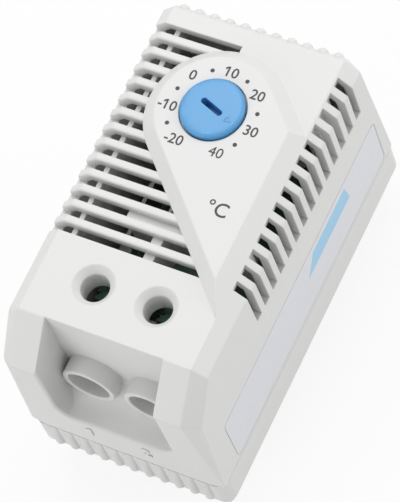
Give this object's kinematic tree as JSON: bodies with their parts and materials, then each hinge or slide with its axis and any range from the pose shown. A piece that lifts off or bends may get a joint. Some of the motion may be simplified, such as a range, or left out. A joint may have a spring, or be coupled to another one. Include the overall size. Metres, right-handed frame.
{
  "type": "bimetal temperature switch",
  "caption": "Rail-mounted bimetal temperature switch with louvred housing, raised dial tongue, slotted setting knob, recessed wire entries, screw terminals and spring latch",
  "frame": {"origin": "on the back plane of the rail clip, under the middle of the outline", "axes": "seen from the front +X is right, +Y is towards the dial end and +Z comes out of the front face; the part lies on its rail clip"},
  "size_m": [0.0324, 0.0622, 0.043],
  "materials": {
    "housing": "fine moulded texture",
    "base": "fine moulded texture",
    "knob": "satin moulded",
    "cam": "satin moulded",
    "board": "laminated board",
    "label": "matt film",
    "brass": "stamped",
    "steel": "zinc plated",
    "silver": "plain contact metal",
    "bimetal": "rolled",
    "magnet": "sintered"
  },
  "bodies": {
    "housing": {"front_cover": "housing", "rear_base": "base", "latch_spring": "steel", "switch_board": "board", "terminal_rail_1": "brass", "terminal_rail_2": "brass", "rail_rivets": "brass", "spindle_bush": "brass", "strip_rivets": "brass", "calibration_screw": "brass", "snap_magnet": "magnet", "rating_label": "label"},
    "latch": {"rail_latch": "base"},
    "dial": {"setting_knob": "knob", "knob_clip": "steel", "setting_spindle": "steel", "setting_cam": "cam"},
    "blade": {"contact_blade": "brass", "fixed_contact": "silver"},
    "bimetal": {"bimetal_strip": "bimetal", "moving_contact": "silver"},
    "screw_1": {"terminal_screw_1": "steel"},
    "screw_2": {"terminal_screw_2": "steel"},
    "clamp_1": {"terminal_clamp_1": "steel"},
    "clamp_2": {"terminal_clamp_2": "steel"}
  },
  "joints": [
    {"name": "latch_pull", "type": "slide", "parent": "housing", "child": "latch", "axis": [0, -1, 0], "range_m": [0, 0.0025], "stiffness_N_per_m": 800, "springref_m": -0.001, "deforming": ["latch_spring"]},
    {"name": "setting_turn", "type": "hinge", "parent": "housing", "child": "dial", "pos_m": [0, 0.01373, 0.04], "axis": [0, 0, 1], "range_deg": [-39, 261]},
    {"name": "blade_bend", "type": "hinge", "parent": "housing", "child": "blade", "pos_m": [-0.0058, 0.02523, 0.0233], "axis": [0, 0, 1], "range_deg": [-1.97, 0.31]},
    {"name": "bimetal_bend", "type": "hinge", "parent": "housing", "child": "bimetal", "pos_m": [-0.0101, 0.02523, 0.0233], "axis": [0, 0, 1], "range_deg": [-0.6, 2], "stiffness_Nm_per_rad": 0.02},
    {"name": "screw_1_turn", "type": "hinge", "parent": "housing", "child": "screw_1", "pos_m": [-0.0051, -0.0168, 0.032], "axis": [0, 0, -1], "range_deg": [0, 1440]},
    {"name": "screw_2_turn", "type": "hinge", "parent": "housing", "child": "screw_2", "pos_m": [0.0051, -0.0168, 0.032], "axis": [0, 0, -1], "range_deg": [0, 1440]},
    {"name": "clamp_1_rise", "type": "slide", "parent": "housing", "child": "clamp_1", "axis": [0, 0, 1], "range_m": [0, 0.002]},
    {"name": "clamp_2_rise", "type": "slide", "parent": "housing", "child": "clamp_2", "axis": [0, 0, 1], "range_m": [0, 0.002]}
  ],
  "couplings": [
    {"joint": "blade_bend", "follows": "setting_turn", "ratio": -0.007473},
    {"joint": "screw_1_turn", "follows": "clamp_1_rise", "rad_per_m": 12566},
    {"joint": "screw_2_turn", "follows": "clamp_2_rise", "rad_per_m": 12566}
  ]
}
